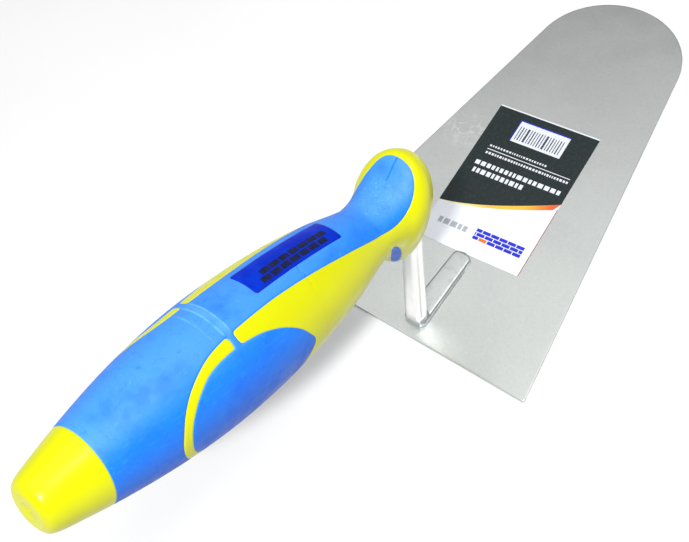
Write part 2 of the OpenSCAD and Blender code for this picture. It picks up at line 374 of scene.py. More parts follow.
def crossing_points(places, edges, value, field, level):
    """Where each edge meets the field's level."""
    start = places[edges[:, 0]]
    way = places[edges[:, 1]] - start
    way[:, 1] = signed(way[:, 1])
    t0, t1 = np.zeros(len(edges)), np.ones(len(edges))
    v0, v1 = value[edges[:, 0]], value[edges[:, 1]]
    for _ in range(4):
        t = t0 + (t1 - t0) * v0 / (v0 - v1)
        v = field(start + way * t[:, None]) - level
        same = np.sign(v) == np.sign(v0)
        t0, v0 = np.where(same, t, t0), np.where(same, v, v0)
        t1, v1 = np.where(same, t1, t), np.where(same, v1, v)
        v0 = np.where(v0 == 0, 1e-9, v0)
        v1 = np.where(v1 == v0, v0 - 1e-9, v1)
    return start + way * t[:, None]


# ---- Meshes ----

def make_mesh(name, points, faces, material, sharp=38.0):
    """A smooth-shaded object from points in millimetres."""
    mesh = bpy.data.meshes.new(name)
    mesh.from_pydata((np.asarray(points, float) * MM).tolist(), [], [list(map(int, f)) for f in faces])
    mesh.validate()
    mesh.polygons.foreach_set("use_smooth", [True] * len(mesh.polygons))
    mesh.set_sharp_from_angle(angle=math.radians(sharp))
    mesh.materials.append(material)
    piece = bpy.data.objects.new(name, mesh)
    bpy.context.scene.collection.objects.link(piece)
    return piece


def joined(parts):
    """One list of points and one of faces, out of several pairs."""
    points, faces = [], []
    for part_points, part_faces in parts:
        faces += [[len(points) + i for i in f] for f in part_faces]
        points += np.asarray(part_points).tolist()
    return points, faces


def finish_piece(piece, slot, *nodes):
    """Ties a piece to the frame."""
    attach(piece, "root")
    if nodes:
        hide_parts(*nodes)
    return piece


def rim_edges(faces):
    """Directed edges that belong to one face only."""
    edges = np.vstack([faces[:, [0, 1]], faces[:, [1, 2]], faces[:, [2, 0]]])
    key = np.sort(edges, axis=1)
    _, back, count = np.unique(key, axis=0, return_inverse=True, return_counts=True)
    return edges[count[back.ravel()] == 1]


def packed(points, faces):
    """Only the points that the faces use."""
    used, back = np.unique(np.concatenate([np.ravel(f) for f in faces]), return_inverse=True)
    sizes = np.cumsum([len(f) for f in faces])[:-1]
    return points[used], np.split(back.ravel(), sizes)


def shell(faces, outer, inner):
    """A closed shell: faces at the outer points, again at the inner ones, and walls along the rim."""
    n = len(outer)
    rim = rim_edges(faces)
    walls = np.stack([rim[:, 1], rim[:, 0], rim[:, 0] + n, rim[:, 1] + n], 1)
    return packed(np.vstack([outer, inner]), [*faces, *(faces[:, ::-1] + n), *walls])


def pocketed(faces, sunk, outer, inner):
    """A closed skin whose sunk faces lie at the inner points, with walls down to them."""
    n = len(outer)
    rim = rim_edges(faces[sunk])
    walls = np.stack([rim[:, 0], rim[:, 1], rim[:, 1] + n, rim[:, 0] + n], 1)
    return packed(np.vstack([outer, inner]), [*faces[~sunk], *(faces[sunk] + n), *walls])


def lofted(rings, start_pole=None, end_pole=None):
    """Quads between rings of equal length, closed with flat ends or with fans to poles."""
    n = len(rings[0])
    points = [p for ring in rings for p in ring]
    faces = [
        (r * n + i, r * n + (i + 1) % n, (r + 1) * n + (i + 1) % n, (r + 1) * n + i)
        for r in range(len(rings) - 1) for i in range(n)
    ]
    last = (len(rings) - 1) * n
    if start_pole is None:
        faces.append(tuple(range(n - 1, -1, -1)))
    else:
        points.append(start_pole)
        faces += [((i + 1) % n, i, len(points) - 1) for i in range(n)]
    if end_pole is None:
        faces.append(tuple(last + i for i in range(n)))
    else:
        points.append(end_pole)
        faces += [(last + i, last + (i + 1) % n, len(points) - 1) for i in range(n)]
    return np.array(points, float), faces


def apply_modifiers(piece):
    """Bakes a piece's modifiers into its mesh."""
    graph = bpy.context.evaluated_depsgraph_get()
    mesh = bpy.data.meshes.new_from_object(piece.evaluated_get(graph), depsgraph=graph)
    piece.modifiers.clear()
    old = piece.data
    piece.data = mesh
    bpy.data.meshes.remove(old)
    return piece


# ---- Handle pieces ----

def surface_relief(places, distance):
    """How far the outer surface sinks, in mm. The marks on the grip fade out before its seam."""
    s, angle = places[:, 0], signed(places[:, 1])
    seam = SEAM_DEPTH * (1 - np.clip(np.abs(distance) / SEAM_WIDTH, 0, 1)) ** 2
    on_grip = step(distance, 0.2, 0.9)
    marks = bridge_ridges(s, angle) + slanted_fold(s, angle) + thumb_dents(s, angle)
    return seam + on_grip * marks + parting_line(s, angle, distance)


def bridge_ridges(s, angle):
    """Faint ridges across the top, along both edges of the bridges."""
    height = 0.045
    from_edge = np.abs(np.abs(s - BRIDGE_AT) - BRIDGE_HALF)
    return -height * (1 - step(from_edge, 0.05, 0.45)) * (1 - step(np.abs(angle), 40, 60))


def slanted_fold(s, angle):
    """A short shallow fold behind the bridges."""
    depth = 0.05
    fold_at = 88.6 + 0.085 * (angle + 8)
    across = 1 - step(np.abs(s - fold_at), 0.1, 0.8)
    return depth * across * step(angle, -12, -4) * (1 - step(angle, 24, 34))


def thumb_dents(s, angle):
    """Two shallow dents and one low swelling in the thumb rest."""
    # Distance, angle, stretch around, size, depth
    dents = ((10.5, -22, 40, 1.6, 0.12), (12.5, 4, 60, 2.4, 0.10), (7.5, 12, 50, 1.5, -0.06))
    return sum(
        depth * np.exp(-((s - at) ** 2 / 2 + (angle - turn) ** 2 / spread) / width)
        for at, turn, spread, width, depth in dents
    )


def parting_line(s, angle, distance):
    """The mould's parting line: a groove in the front of the thumb rest, a low ridge elsewhere."""
    on_grip = 0.34 * (1 - step(s, 6, 9.5)) - 0.015
    on_core = -0.04
    top_line = 1 - step(np.abs(angle), 0.25, 0.9)
    bottom_line = 1 - step(180 - np.abs(angle), 0.25, 0.9)
    return np.where(distance > 0, on_grip, on_core) * (top_line + bottom_line)


def handle_parts():
    """Hard core, soft grip and badge foil, cut from one surface so that their seams match."""
    places, faces = handle_grid()
    for level in (-SEAM_WIDTH, -SEAM_WIDTH / 2, 0, SEAM_WIDTH / 2, SEAM_WIDTH):
        places, faces = cut(places, faces, grip_distance, level)
    for level in (0, FOIL_FROM, FOIL_FLAT_FROM):
        places, faces = cut(places, faces, badge_distance, level)
    distance, foil = grip_distance(places), badge_distance(places)
    soft = distance[faces].mean(1) > 0
    foiled = foil[faces].mean(1) > FOIL_FROM
    relief = surface_relief(places, distance) + SKIN_ALLOWANCE
    outer = skin(places, relief)
    floor = skin(places, GRIP_DEPTH)
    grip_top = skin(places, relief + BADGE_SEAT * np.clip(foil / FOIL_FROM, 0, 1))
    foil_rise = np.clip((foil - FOIL_FROM) / (FOIL_FLAT_FROM - FOIL_FROM), 0, 1)
    foil_top = skin(places, -BADGE_PROUD * foil_rise)
    foil_back = skin(places, BADGE_SEAT)

    core = make_mesh("hard_core", *pocketed(faces, soft, outer, floor), yellow_plastic())
    bore(core)
    finish_piece(core, "yellow_plastic", "handle_core")
    grip = make_mesh("soft_grip", *shell(faces[soft], grip_top, floor), blue_soft_plastic())
    finish_piece(grip, "blue_soft_plastic", "grip")
    badge = make_mesh("badge_foil", *shell(faces[foiled], foil_top, foil_back), badge_material())
    finish_piece(badge, "badge_foil", "badge")


def badge_print():
    """A generic run of small bricks printed on the foil, in two courses."""
    height = 0.03
    course = 1.9
    joint = 0.45
    brick = 3.9
    start = 37.5
    end = 67.5
    first_low = -1.6
    bricks = []
    for row in (0, 1):
        low = first_low - row * (course + joint)
        s = start + row * brick / 2
        while s + brick - joint <= end + 0.01:
            bricks.append(foil_patch(s, s + brick - joint, low, low + course, height))
            s += brick
    piece = make_mesh("badge_print", *joined(bricks), ink("badge_ink", (0.006, 0.010, 0.05)))
    finish_piece(piece, "badge_foil")


def foil_patch(s_from, s_to, low, high, height):
    """A thin closed patch on the foil, between two distances and two widths across."""
    sink = 0.02
    across = np.linspace(low, high, 5)
    along = np.linspace(s_from, s_to, 6)
    s, y = (v.ravel() for v in np.meshgrid(along, across))
    angle = np.degrees((y + BADGE_SHIFT) / smooth(LOFT, s, 1))
    places = np.stack([s, angle, np.ones(len(s))], 1)
    n = len(along)
    faces = []
    for r in range(len(across) - 1):
        for c in range(n - 1):
            a = r * n + c
            faces += [(a, a + 1, a + n + 1), (a, a + n + 1, a + n)]
    faces = np.array(faces)
    return shell(faces[:, ::-1], skin(places, -BADGE_PROUD - height), skin(places, -BADGE_PROUD + sink))


# ---- Shank ----

def bar_section(gap=0.0, arc=6):
    """The neck's rounded-square section: rows of (depth, width)."""
    d, w, r = NECK_DEPTH / 2 + gap, NECK_WIDTH / 2 + gap, NECK_CORNER + gap
    out = []
    for quarter, (x, y) in enumerate([(1, 1), (-1, 1), (-1, -1), (1, -1)]):
        for t in np.radians(90 * quarter + np.linspace(0, 90, arc + 1)):
            out.append((x * (d - r) + r * math.cos(t), y * (w - r) + r * math.sin(t)))
    return np.array(out)


def bar_mesh(gap=0.0):
    """Neck, bend and tang as one swept bar, in the object's frame."""
    arc = 8
    bend_angle = 90 - HANDLE_RISE + NECK_LEAN
    tangent = BEND_RADIUS * math.tan(math.radians(bend_angle / 2))
    neck_run = CROSSING_HEIGHT / math.cos(math.radians(NECK_LEAN))
    section = bar_section(gap, arc)
    turns = np.arctan2(section[:, 1], section[:, 0])
    shoulder = 4
    heel_pinch = 1.0
    rings = []

    def ring(x, z, turn, profile):
        """A profile across the bar at (x, z), where the bar runs at an angle below the handle's line."""
        t = math.radians(turn)
        px = x + profile[:, 0] * math.sin(t)
        pz = z + profile[:, 0] * math.cos(t)
        rings.append(in_handle_place(np.stack([px, profile[:, 1], pz], 1)))

    def tang_profile(radius):
        return np.stack([np.cos(turns), np.sin(turns)], 1) * (radius + gap)

    for u in np.linspace(1, 0.15, 12):
        radius = TANG_RADIUS + (TANG_TIP_RADIUS - TANG_RADIUS) * u
        ring(tangent + u * TANG_LENGTH + (gap if u == 1 else 0), 0, 0, tang_profile(radius))
    slim = bar_section(gap - NECK_TAPER / 2, arc)
    for u in np.linspace(0, 1, 5):
        ring(tangent + shoulder * (1 - u), 0, 0, (1 - u) * tang_profile(TANG_RADIUS) + u * slim)
    for u in np.linspace(0, 1, 14)[1:]:
        t = math.radians(bend_angle * u)
        ring(tangent - BEND_RADIUS * math.sin(t), -BEND_RADIUS * (1 - math.cos(t)), -bend_angle * u, slim)
    t = math.radians(bend_angle)
    start = np.array([tangent - BEND_RADIUS * math.sin(t), -BEND_RADIUS * (1 - math.cos(t))])
    run = neck_run - tangent - BLADE_THICKNESS / 2
    for u in np.linspace(0, 1, 24)[1:]:
        at = start + u * run * np.array([-math.cos(t), -math.sin(t)])
        pinch = heel_pinch * step(u, 0.92, 1.0)
        ring(at[0], at[1], -bend_angle, bar_section(gap + NECK_TAPER * (u - 0.5) - pinch, arc))
    return lofted(rings)


def foot_half_width(x):
    """Half width of the foot along the blade: a small heel bevel, a slow taper and a blunt round tip."""
    bevel = 1.6
    round_from = FOOT_REACH - FOOT_TIP_ROUND
    half = FOOT_WIDTH / 2 * np.interp(x, [FOOT_HEEL + bevel, round_from], [1, FOOT_TIP_SHARE])
    half = half - bevel * np.clip(1 - (x - FOOT_HEEL) / bevel, 0, 1)
    into_tip = np.clip((x - round_from) / (FOOT_TIP_ROUND + 0.02), 0, 1)
    return half * np.sqrt(1 - into_tip**2)


def foot_mesh():
    """The foot as a loft along the blade, with near-upright sides and rounded top edges."""
    edge = 0.7
    sink = 0.4
    tip_drop = 0.5
    tip = FOOT_REACH - FOOT_TIP_ROUND * (1 - np.sin(np.radians(np.linspace(8, 90, 12))))
    heel = [FOOT_HEEL, FOOT_HEEL + 0.4]
    top_places = [FOOT_HEEL, NECK_SETBACK + NECK_DEPTH, FOOT_REACH - 2]
    top_heights = [FOOT_HEIGHT, FOOT_HEIGHT, FOOT_TIP_HEIGHT]
    rings = []
    for x in np.concatenate([heel, np.linspace(FOOT_HEEL + 1, tip[0] - 0.8, 34), tip]):
        half = float(foot_half_width(x))
        drop = tip_drop * step(x, FOOT_REACH - 1.2, FOOT_REACH)
        top = np.interp(x, top_places, top_heights) - drop
        inner = max(half - edge, 0.3 * half)
        middle = max(half - edge * 0.3, 0.8 * half)
        side = [(half, -sink), (half, top - edge), (middle, top - edge * 0.3), (inner, top)]
        right = side + [(inner * 0.5, top + 0.06)]
        profile = [(-y, z) for y, z in right] + [(0, top + 0.08)] + right[::-1]
        rings.append([(x, SHANK_SIDE + y, BLADE_THICKNESS + z) for y, z in profile])
    points, faces = lofted(rings)
    return points, [f[::-1] for f in faces]


def neck_flare():
    """A low cone around the neck's base, which the smoothing turns into a fillet."""
    reach = FOOT_WIDTH / 2 - 0.35
    back = FOOT_HEEL + 0.1
    # Height over the blade, and how far outside the neck's section
    growth = [(0.3, 0.4), (FOOT_HEIGHT - 0.1, 0.7), (FOOT_HEIGHT + 0.7, 0.5), (FOOT_HEIGHT + 1.9, 0.2)]
    rings = []
    for height, grow in growth:
        middle = NECK_SETBACK + math.tan(math.radians(NECK_LEAN)) * height
        rings.append([
            (max(middle + x, back), SHANK_SIDE + min(max(y, -reach), reach), BLADE_THICKNESS + height)
            for x, y in bar_section(grow)
        ])
    return lofted(rings)


def shank():
    """One forged bar: foot, neck, bend and tang, melted together by a fine remesh."""
    piece = make_mesh("shank_bar", *joined([bar_mesh(), foot_mesh(), neck_flare()]), forged_steel())
    remesh = piece.modifiers.new("melt", "REMESH")
    remesh.mode = "VOXEL"
    remesh.voxel_size = 0.26 * MM
    remesh.use_smooth_shade = True
    relax = piece.modifiers.new("relax", "SMOOTH")
    relax.factor = 0.5
    relax.iterations = 7
    apply_modifiers(piece)
    seat_on_blade(piece)
    finish_piece(piece, "forged_steel", "shank")


def seat_on_blade(piece):
    """Flattens the underside of the foot onto the blade."""
    count = len(piece.data.vertices)
    co = np.zeros(count * 3)
    piece.data.vertices.foreach_get("co", co)
    co = co.reshape(-1, 3)
    co[:, 2] = np.maximum(co[:, 2], BLADE_THICKNESS * MM)
    piece.data.vertices.foreach_set("co", co.ravel())
    piece.data.update()


def bore(core):
    """Opens the core for the shank, which sits in it with a small gap."""
    cutter = make_mesh("bore_cutter", *bar_mesh(gap=TANG_GAP), core.data.materials[0])
    hole = core.modifiers.new("bore", "BOOLEAN")
    hole.operation = "DIFFERENCE"
    hole.solver = "MANIFOLD"
    hole.object = cutter
    apply_modifiers(core)
    bpy.data.objects.remove(cutter)


def weld_beads():
    """A rippled bead along each long side of the foot."""
    start, end = FOOT_HEEL + 1.5, FOOT_REACH - 6
    ripple = 1.1
    fade = 1.5
    bite = 0.12
    squash = 0.75
    rings_count = 90
    arc = np.radians(np.linspace(0, 180, 9))
    beads = []
    for side in (-1, 1):
        rings = []
        for x in np.linspace(start, end, rings_count):
            fade_in = min(1.0, (x - start) / fade, (end - x) / fade)
            wave = 0.62 + 0.08 * math.cos(2 * math.pi * x / ripple)
            size = WELD_SIZE * wave * max(0.15, fade_in) ** 0.5
            edge = SHANK_SIDE + side * (float(foot_half_width(x)) - bite)
            ring = [
                (x, edge + side * size * math.cos(t), BLADE_THICKNESS + size * squash * math.sin(t))
                for t in arc
            ]
            rings.append(ring if side > 0 else ring[::-1])
        beads.append(lofted(rings))
    piece = make_mesh("weld_beads", *joined(beads), weld_metal())
    finish_piece(piece, "weld_metal", "foot_weld")


# ---- Blade and label ----

def blade_outline():
    """The plate's outline, counter-clockwise, with small round heel corners."""
    toe_x = BLADE_LENGTH - TOE_RADIUS - SKIN_ALLOWANCE
    heel = BLADE_WIDTH / 2
    corner = 0.8
    tangent = math.atan2(heel, -toe_x) - math.acos(TOE_RADIUS / math.hypot(toe_x, heel))
    toe_arc = np.linspace(-tangent, tangent, 97)
    toe = [(toe_x + TOE_RADIUS * math.cos(t), TOE_RADIUS * math.sin(t)) for t in toe_arc]
    end_x, end_y = toe[-1]
    left = [(end_x * (1 - u), end_y + (heel - end_y) * u) for u in np.linspace(0, 1, 41)[1:-1]]
    slope = math.atan2(heel - end_y, -end_x)
    centre_y = heel + corner * (1 + math.sin(slope)) / math.cos(slope)
    left_corner = [(corner + corner * math.cos(t), centre_y + corner * math.sin(t))
                   for t in np.linspace(slope - math.pi / 2, math.pi, 7)]
    heel_line = [(0, y) for y in np.linspace(centre_y, -centre_y, 40)[1:-1]]
    right_corner = [(x, -y) for x, y in left_corner[::-1]]
    right = [(x, -y) for x, y in left[::-1]]
    return np.array(toe + left + left_corner + heel_line + right_corner + right)


def inset_outline(outline, inset):
    """A convex outline moved inwards."""
    before, after = np.roll(outline, 1, 0), np.roll(outline, -1, 0)
    a, b = outline - before, after - outline
    a /= np.linalg.norm(a, axis=1)[:, None]
    b /= np.linalg.norm(b, axis=1)[:, None]
    normal = np.stack([-(a + b)[:, 1], (a + b)[:, 0]], 1)
    normal /= np.linalg.norm(normal, axis=1)[:, None]
    return outline + normal * inset


def plate(name, outline, thickness, edge, base, material, shares=(0.995, 0.9, 0.7, 0.45, 0.2)):
    """A flat plate with rounded edges; its faces are rings around the middle."""
    middle = outline.mean(0)
    loops = []

    def loop(inset, z, share=1.0):
        flat = inset_outline(outline, inset)
        flat = middle + (flat - middle) * share
        loops.append(np.column_stack([flat, np.full(len(flat), base + z)]))

    for share in shares[::-1]:
        loop(edge, 0, share)
    for t in np.radians(np.linspace(-90, 0, 4)):
        loop(edge * (1 - math.cos(t)), edge * (1 + math.sin(t)))
    for t in np.radians(np.linspace(0, 90, 4)):
        loop(edge * (1 - math.cos(t)), thickness - edge * (1 - math.sin(t)))
    for share in shares:
        loop(edge, thickness, share)
    return make_mesh(name, *lofted(loops, (*middle, base), (*middle, base + thickness)), material)


def blade():
    piece = plate("blade_plate", blade_outline(), BLADE_THICKNESS, BLADE_EDGE, 0.0, blade_steel())
    finish_piece(piece, "blade_steel", "blade")


def on_label(outline):
    """From the label's own plan, +U to the toe and +V to the left, to the blade's."""
    turn = math.radians(LABEL_TURN)
    u, v = np.asarray(outline, float).T
    return np.stack([LABEL_X + u * math.cos(turn) - v * math.sin(turn),
                     u * math.sin(turn) + v * math.cos(turn)], 1)


def box_outline(u0, u1, v0, v1):
    """A rectangle on the label."""
    return [(u0, v0), (u1, v0), (u1, v1), (u0, v1)]


def curve_outline(start, control, end, count=33):
    """Points along a quadratic curve."""
    t = np.linspace(0, 1, count)[:, None]
    start, control, end = (np.array(p, float) for p in (start, control, end))
    return ((1 - t) ** 2 * start + 2 * t * (1 - t) * control + t**2 * end).tolist()


def printed(name, outlines, layer, material):
    """Flat ink shapes on the label; a higher layer lies on a lower one."""
    shapes = []
    low = BLADE_THICKNESS + LABEL_THICKNESS + (layer - 1) * INK
    for outline in outlines:
        flat = on_label(outline)
        rings = [np.column_stack([flat, np.full(len(flat), z)]) for z in (low - INK / 2, low + INK)]
        shapes.append(lofted(rings))
    piece = make_mesh(name, *joined(shapes), material)
    finish_piece(piece, "label_paper")


def word_row(u0, u1, v_from, v_to, words, gap, seed):
    """A row of plain blocks that runs to the right across the label, as lines of print do."""
    rng = np.random.default_rng(seed)
    sizes = rng.uniform(0.6, 1.4, words)
    sizes *= (v_from - v_to - gap * (words - 1)) / sizes.sum()
    blocks, v = [], v_from
    for size in sizes:
        blocks.append(box_outline(u0, u1, v - size, v))
        v -= size + gap
    return blocks


def label():
    """Paper label with a generic print: a dark field, a curved band, a brick pattern and a striped box."""
    half_l, half_w = LABEL_LENGTH / 2, LABEL_WIDTH / 2
    paper_edge = 0.03
    toe_margin = 0.6
    rule_width = 0.25
    shadow_u, shadow_v = 0.5, 0.4
    sheet = on_label(box_outline(-half_l, half_l, -half_w, half_w))
    paper = plate("label_paper_sheet", sheet, LABEL_THICKNESS, paper_edge, BLADE_THICKNESS, paper_material(),
                  shares=(0.6, 0.3))
    finish_piece(paper, "label_paper", "blade_label")

    edge = curve_outline((-17.2, half_w), (-15.4, 6.8), (0.6, -half_w))
    inner = curve_outline((-2.1, -half_w), (-16.4, 5.6), (-17.3, half_w))
    field = edge + [(half_l - toe_margin, -half_w), (half_l - toe_margin, half_w)]
    printed("print_dark_field", [field], 1, ink("print_dark", (0.016, 0.024, 0.025), 0.36))
    printed("print_band", [edge + inner[1:-1]], 2, band_ink())

    white = [block for row in WHITE_ROWS for block in word_row(*row)]
    white += [box_outline(*WHITE_RULE), box_outline(*STRIPED_BOX)]
    printed("print_white", white, 2, ink("print_white_ink", (0.70, 0.73, 0.78)))
    printed("print_bars", striped_box(), 3, ink("print_bar_ink", (0.05, 0.06, 0.10)))

    bricks = brick_bond(*BRICK_BOX)
    orange = bricks.pop(ORANGE_BRICK)
    u0, u1, v0, v1 = STRIPED_BOX
    box_shadow = [box_outline(u1, u1 + shadow_u, v0, v1), box_outline(u0, u1 + shadow_u, v1, v1 + shadow_v)]
    printed("print_blue", bricks + box_shadow, 3, ink("print_blue_ink", (0.02, 0.03, 0.55)))
    printed("print_orange", [orange], 3, ink("print_orange_ink", (0.85, 0.16, 0.02)))
    printed("print_grey", word_row(*GREY_ROW), 3, ink("print_grey_ink", (0.38, 0.42, 0.46)))
    edge_line = box_outline(-half_l, -2, -half_w, -half_w + rule_width)
    printed("print_edge_line", [edge_line], 2, ink("print_edge_ink", (0.30, 0.03, 0.03)))


def striped_box():
    """Evenly patterned bars in the white box, which are no readable code."""
    widths = [0.35, 0.5, 0.35, 0.9, 0.35, 0.5, 0.35]
    gap = 0.72
    low, high = 21.0, 28.0
    bars, v = [], 9.2
    for i in range(17):
        width = widths[i % len(widths)]
        bars.append(box_outline(low, high, v - width, v))
        v -= width + gap
    return bars


def brick_bond(u0, u1, v0, v1):
    """Three courses of bricks, each shifted by half a brick."""
    joint = 0.35
    courses = 3
    shortest = 0.4
    course = (u1 - u0 + joint) / courses
    length = 3.6
    bricks = []
    for row in range(courses):
        v = v0 - (length / 2 if row % 2 else 0)
        while v < v1:
            low, high = max(v, v0), min(v + length - joint, v1)
            if high - low > shortest:
                bricks.append(box_outline(u0 + row * course, u0 + (row + 1) * course - joint, low, high))
            v += length
    return bricks


# ---- Materials ----

class Paint:
    """A small helper that builds one Principled material out of nodes."""

    def __init__(self, name, colour, roughness, metallic=0.0, **sockets):
        self.material = bpy.data.materials.new(name)
        self.material.use_nodes = True
        self.tree = self.material.node_tree
        self.shader = self.tree.nodes["Principled BSDF"]
        self.set("Base Color", (*colour, 1))
        self.set("Roughness", roughness)
        self.set("Metallic", metallic)
        for socket, value in sockets.items():
            self.set(socket.replace("_", " "), value)
        self.colour = (*colour, 1)
        coordinates = self.tree.nodes.new("ShaderNodeTexCoord")
        self.place = coordinates.outputs["Object"]
        self.facing = coordinates.outputs["Normal"]
        self.normal = None

    def set(self, socket, value):
        self.shader.inputs[socket].default_value = value

    def node(self, kind, **values):
        made = self.tree.nodes.new(kind)
        for name, value in values.items():
            setattr(made, name, value)
        return made

    def link(self, source, target):
        self.tree.links.new(source, target)

    def stretched(self, scale, turn=(0, 0, 0)):
        """Coordinates turned, then scaled."""
        mapping = self.node("ShaderNodeMapping", vector_type="TEXTURE")
        mapping.inputs["Rotation"].default_value = [math.radians(t) for t in turn]
        mapping.inputs["Scale"].default_value = scale
        self.link(self.place, mapping.inputs["Vector"])
        return mapping.outputs["Vector"]

    def noise(self, size_mm, detail=3.0, roughness=0.55, vector=None, distortion=0.0):
        """Noise with features of about that size."""
        made = self.node("ShaderNodeTexNoise")
        made.inputs["Scale"].default_value = 1 / (size_mm * MM)
        made.inputs["Detail"].default_value = detail
        made.inputs["Roughness"].default_value = roughness
        made.inputs["Distortion"].default_value = distortion
        self.link(vector or self.place, made.inputs["Vector"])
        return made.outputs["Fac"]

    def range(self, value, low, high, to_low=0.0, to_high=1.0):
        """A soft change from to_low at low to to_high at high."""
        made = self.node("ShaderNodeMapRange", interpolation_type="SMOOTHSTEP")
        limits = {"From Min": low, "From Max": high, "To Min": to_low, "To Max": to_high}
        for socket, number in limits.items():
            made.inputs[socket].default_value = number
        self.link(value, made.inputs["Value"])
        return made.outputs["Result"]

    def upright(self, low, high):
        """How far the surface faces up, from 0 at low to 1 at high."""
        return self.range(self.axis("Z", self.facing), low, high)

    def axis(self, name, vector=None):
        """One axis of a vector, or of the place on the object in metres."""
        split = self.node("ShaderNodeSeparateXYZ")
        self.link(vector or self.place, split.inputs["Vector"])
        return split.outputs[name]

    def near(self, point_mm, far, close):
        """1 within the close distance of a point and 0 beyond the far one, in mm."""
        apart = self.node("ShaderNodeVectorMath", operation="DISTANCE")
        self.link(self.place, apart.inputs[0])
        apart.inputs[1].default_value = [v * MM for v in point_mm]
        return self.range(apart.outputs["Value"], far * MM, close * MM)

    def from_collar(self):
        """Distance from the collar along the handle, in mm."""
        rise = math.radians(HANDLE_RISE)
        start = CROSSING[0] * math.cos(rise) - CROSSING[2] * math.sin(rise) - COLLAR_SETBACK
        back = self.axis("X", self.stretched((MM, MM, MM), (0, HANDLE_RISE, 0)))
        return self.math("SUBTRACT", start, back)

    def math(self, operation, a, b):
        """One Math node; a and b are numbers or outputs of other nodes."""
        made = self.node("ShaderNodeMath", operation=operation)
        for socket, value in zip(made.inputs, (a, b)):
            if isinstance(value, (int, float)):
                socket.default_value = value
            else:
                self.link(value, socket)
        return made.outputs["Value"]

    def times(self, a, b):
        return self.math("MULTIPLY", a, b)

    def tint(self, colour, mask):
        """Mixes a second colour in where the mask is high."""
        made = self.node("ShaderNodeMix", data_type="RGBA")
        self.link(mask, made.inputs["Factor"])
        if isinstance(self.colour, tuple):
            made.inputs["A"].default_value = self.colour
        else:
            self.link(self.colour, made.inputs["A"])
        made.inputs["B"].default_value = (*colour, 1)
        self.colour = made.outputs["Result"]
        self.link(self.colour, self.shader.inputs["Base Color"])

    def wash(self, colour, value, low, high, share=1):
        """Mixes a colour in, up to that share, where a value runs from low to high."""
        self.tint(colour, self.range(value, low, high, 0, share))

    def rough(self, value, low, high, glossy, dull):
        """Roughness that follows a value."""
        self.link(self.range(value, low, high, glossy, dull), self.shader.inputs["Roughness"])

    def bump(self, height, depth_mm):
        """Adds fine relief to the relief that is there."""
        made = self.node("ShaderNodeBump")
        made.inputs["Distance"].default_value = depth_mm * MM
        self.link(height, made.inputs["Height"])
        if self.normal is not None:
            self.link(self.normal, made.inputs["Normal"])
        self.normal = made.outputs["Normal"]
        self.link(self.normal, self.shader.inputs["Normal"])


def yellow_plastic():
    """Glossy injection-moulded plastic."""
    paint = Paint("yellow_moulded", (0.69, 0.70, 0.001), 0.32, Specular_IOR_Level=0.18, Coat_Weight=0.15,
                  Coat_Roughness=0.2)
    paint.wash((0.62, 0.62, 0.001), paint.noise(30, 2), 0.45, 0.8, 0.5)
    streaks = paint.noise(1, 3, 0.6, paint.stretched((12, 0.5, 0.5), (0, HANDLE_RISE, 0)))
    paint.wash((0.90, 0.89, 0.03), streaks, 0.66, 0.8, 0.3)
    # Painted shade: a deeper olive where the surface faces down.
    paint.tint((0.36, 0.37, 0.0), paint.times(paint.upright(0.55, -0.45), 0.85))
    paint.rough(paint.noise(5, 3, 0.6), 0.3, 0.75, 0.28, 0.40)
    paint.bump(streaks, 0.006)
    return paint.material


def blue_soft_plastic():
    """Satin thermoplastic rubber with fine wipe marks along the handle."""
    paint = Paint("blue_overmould", (0.006, 0.215, 0.90), 0.48, Specular_IOR_Level=0.30)
    # Painted sheen: a paler blue where the surface faces up.
    paint.tint((0.075, 0.32, 0.92), paint.times(paint.upright(0.55, 0.97), 0.8))
    paint.wash((0.003, 0.145, 0.84), paint.noise(14, 3, 0.6), 0.45, 0.75, 0.6)
    streaks = paint.noise(1, 4, 0.6, paint.stretched((9, 0.7, 0.7), (0, HANDLE_RISE, 0)))
    paint.wash((0.05, 0.36, 1.0), streaks, 0.54, 0.78, 0.5)
    swirls = paint.noise(3.0, 5, 0.65, distortion=2.4)
    paint.wash((0.10, 0.44, 1.0), swirls, 0.60, 0.74, 0.45)
    paint.wash((0.002, 0.12, 0.78), swirls, 0.47, 0.22, 0.5)
    # Painted shade: a deeper blue where the surface faces down.
    paint.tint((0.002, 0.06, 0.42), paint.times(paint.upright(0.74, -0.35), 0.85))
    near_thumb = paint.near(skin(np.array([(THUMB_AT, 0, 1.0)]))[0], 9, 3)
    rubbed = paint.range(paint.noise(1.6, 5, 0.7, distortion=3.0), 0.54, 0.66)
    paint.tint((0.26, 0.56, 1.0), paint.times(paint.times(near_thumb, rubbed), 0.6))
    # Painted highlights along the bridges' ridges, kept to the upward-facing top.
    ridge_highlights = paint.times(ridge_highlight_lines(paint), paint.upright(0.78, 0.93))
    paint.tint((0.17, 0.50, 1.0), paint.times(ridge_highlights, 0.8))
    paint.rough(paint.noise(3.5, 4, 0.6), 0.3, 0.7, 0.42, 0.56)
    paint.bump(swirls, 0.05)
    paint.bump(streaks, 0.015)
    return paint.material


def ridge_highlight_lines(paint):
    """Painted highlights: pale lines across the grip's top along the ridges where the bridges meet it,
    broken up a little.
    """
    distance = paint.from_collar()
    lines = 0
    # Distance from the collar, half width, strength
    marks = ((83.7, 0.45, 1.0), (86.0, 0.5, 0.9), (84.9, 1.6, 0.35), (89.3, 0.4, 0.5))
    for at, half_width, share in marks:
        apart = paint.math("ABSOLUTE", paint.math("SUBTRACT", distance, at), 0)
        lines = paint.math("MAXIMUM", lines, paint.range(apart, half_width, 0.2 * half_width, 0, share))
    broken = paint.range(paint.noise(4, 3, 0.6), 0.30, 0.55, 0.25, 1.0)
    return paint.times(lines, broken)


